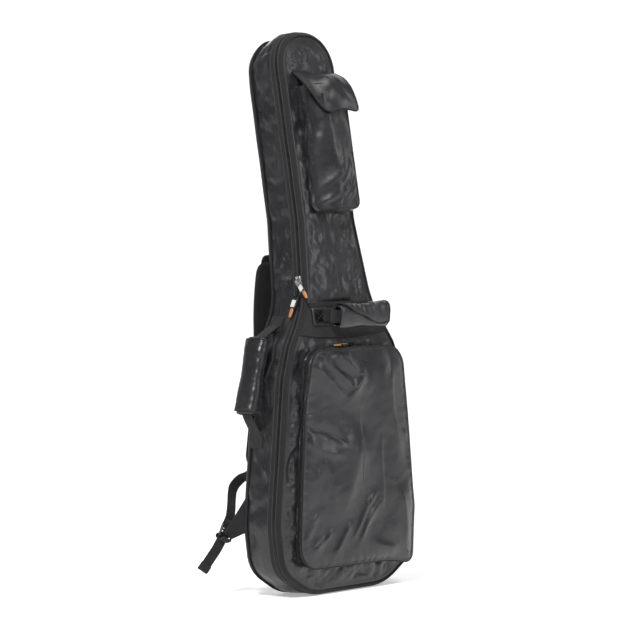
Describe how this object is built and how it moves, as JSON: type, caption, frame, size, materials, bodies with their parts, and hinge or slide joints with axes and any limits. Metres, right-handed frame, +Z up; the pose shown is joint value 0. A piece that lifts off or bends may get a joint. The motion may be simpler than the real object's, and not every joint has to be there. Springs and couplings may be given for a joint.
{
  "type": "padded gig bag",
  "caption": "Padded soft case for an electric guitar: body and leaning neck section, zipped front, pocket, neck pocket, two carry handles and rucksack straps.",
  "frame": {"origin": "on the flat bottom face of the base wall, on the centre line, midway between the planes of the back seam and the zip", "axes": "+Z up along the bag from its base to its head, -Y towards the front with the pockets, +X to the right seen from the front"},
  "size_m": [0.492, 0.2243, 1.0548],
  "materials": {
    "nylon": "glossy crinkled coated nylon",
    "panel_weave": "matte heavy weave",
    "webbing": "matte ribbed webbing",
    "strap_pad": "matte padded weave",
    "tape": "matte woven tape",
    "coil": "satin",
    "foam": "matte open foam",
    "lining": "matte brushed",
    "padding": "matte",
    "hook_loop": "matte pile",
    "acetal": "satin",
    "black_metal": "satin",
    "bright_metal": "polished",
    "link_metal": "satin",
    "tag_rubber": "matte"
  },
  "bodies": {
    "case": {"base_gusset": "nylon", "left_gusset": "nylon", "right_gusset": "nylon", "head_gusset": "nylon", "gusset_foam": "foam", "gusset_lining": "lining", "back_panel": "nylon", "back_foam": "foam", "back_lining": "lining", "back_piping": "tape", "case_zip_tape": "tape", "case_zip_coil": "coil", "hinge_binding": "tape", "neck_cradle": "padding", "end_guard": "padding", "side_handle_top_anchor": "webbing", "side_handle_low_anchor": "webbing", "strap_yoke": "panel_weave", "left_strap_tab": "webbing", "right_strap_tab": "webbing"},
    "neck_strap": {"neck_strap": "padding"},
    "side_handle": {"side_handle_webbing": "webbing", "side_handle_grip": "nylon"},
    "left_strap": {"left_shoulder_pad": "strap_pad", "left_strap_webbing": "webbing"},
    "right_strap": {"right_shoulder_pad": "strap_pad", "right_strap_webbing": "webbing"},
    "left_buckle": {"left_ladder_lock": "acetal", "left_strap_tail": "webbing"},
    "right_buckle": {"right_ladder_lock": "acetal", "right_strap_tail": "webbing"},
    "lid": {"front_panel": "nylon", "front_foam": "foam", "front_lining": "lining", "lid_zip_tape": "tape", "lid_zip_coil": "coil", "waist_yoke": "panel_weave", "front_handle_left_anchor": "webbing", "front_handle_right_anchor": "webbing", "pocket_gusset": "nylon", "pocket_zip_tape": "tape", "head_pocket_gusset": "nylon", "head_pocket_front": "nylon", "pocket_loop_patch": "hook_loop"},
    "front_handle": {"front_handle_webbing": "webbing", "front_handle_grip": "nylon"},
    "pocket_lid": {"pocket_lid_gusset": "nylon", "pocket_lid_zip_tape": "tape", "pocket_panel": "nylon"},
    "head_flap": {"head_pocket_flap": "nylon", "flap_hook_patch": "hook_loop"},
    "upper_zip_slider": {"upper_slider": "bright_metal"},
    "upper_pull": {"upper_pull_link": "link_metal", "upper_pull_tag": "tag_rubber"},
    "lower_zip_slider": {"lower_slider": "black_metal"},
    "lower_pull": {"lower_pull_link": "link_metal", "lower_pull_tag": "tag_rubber"},
    "pocket_zip_slider": {"pocket_slider": "black_metal"},
    "pocket_pull": {"pocket_pull_link": "link_metal", "pocket_pull_tag": "tag_rubber"}
  },
  "joints": [
    {"name": "lid_hinge", "type": "hinge", "parent": "case", "child": "lid", "pos_m": [0.17921, -0.0342, 0.275], "axis": [-0.1162, 0, 0.9932], "range_deg": [0, 120]},
    {"name": "pocket_lid_hinge", "type": "hinge", "parent": "lid", "child": "pocket_lid", "pos_m": [0.1525, -0.0582, 0.256], "axis": [-0.0773, 0, 0.997], "range_deg": [0, 110]},
    {"name": "head_flap_hinge", "type": "hinge", "parent": "lid", "child": "head_flap", "pos_m": [0.004, 0.02752, 0.97546], "axis": [-1, 0, 0], "range_deg": [0, 85]},
    {"name": "neck_strap_hinge", "type": "hinge", "parent": "case", "child": "neck_strap", "pos_m": [-0.056, 0.03991, 0.7269], "axis": [0, -0.1478, -0.989], "range_deg": [0, 14]},
    {"name": "side_handle_swing", "type": "hinge", "parent": "case", "child": "side_handle", "pos_m": [-0.15819, 0.015, 0.4036], "axis": [0.2692, 0, 0.9631], "range_deg": [-30, 30]},
    {"name": "front_handle_swing", "type": "hinge", "parent": "lid", "child": "front_handle", "pos_m": [0.013, -0.05264, 0.52031], "axis": [-1, 0, 0], "range_deg": [-31, 59]},
    {"name": "left_strap_swing", "type": "hinge", "parent": "case", "child": "left_strap", "pos_m": [-0.12851, 0.084, 0.36709], "axis": [0.2618, 0, 0.9651], "range_deg": [-10, 10]},
    {"name": "left_buckle_tilt", "type": "hinge", "parent": "left_strap", "child": "left_buckle", "pos_m": [-0.18825, 0.084, 0.13364], "axis": [0.866, 0, -0.5], "range_deg": [0, 15]},
    {"name": "right_strap_swing", "type": "hinge", "parent": "case", "child": "right_strap", "pos_m": [0.12851, 0.084, 0.36709], "axis": [-0.2618, 0, 0.9651], "range_deg": [-10, 10]},
    {"name": "right_buckle_tilt", "type": "hinge", "parent": "right_strap", "child": "right_buckle", "pos_m": [0.18825, 0.084, 0.13364], "axis": [0.866, 0, 0.5], "range_deg": [0, 15]},
    {"name": "upper_slider_travel", "type": "slide", "parent": "case", "child": "upper_zip_slider", "axis": [0.1217, 0.1467, 0.9817], "range_m": [0, 0.09]},
    {"name": "upper_pull_flip", "type": "hinge", "parent": "upper_zip_slider", "child": "upper_pull", "pos_m": [-0.0968, -0.01578, 0.58837], "axis": [-0.0877, 0.7017, -0.7071], "range_deg": [0, 100]},
    {"name": "lower_slider_travel", "type": "hinge", "parent": "case", "child": "lower_zip_slider", "pos_m": [-0.23851, -0.01617, 0.59381], "axis": [0, 0.989, -0.1478], "range_deg": [0, 17]},
    {"name": "lower_pull_flip", "type": "hinge", "parent": "lower_zip_slider", "child": "lower_pull", "pos_m": [-0.10064, -0.0212, 0.56562], "axis": [0.0177, 0.9966, 0.08], "range_deg": [0, 100]},
    {"name": "pocket_slider_travel", "type": "slide", "parent": "lid", "child": "pocket_zip_slider", "axis": [1, 0, 0], "range_m": [-0.08, 0.075]},
    {"name": "pocket_pull_flip", "type": "hinge", "parent": "pocket_zip_slider", "child": "pocket_pull", "pos_m": [0.00825, -0.058, 0.4639], "axis": [0, 1, 0], "range_deg": [0, 34]}
  ]
}
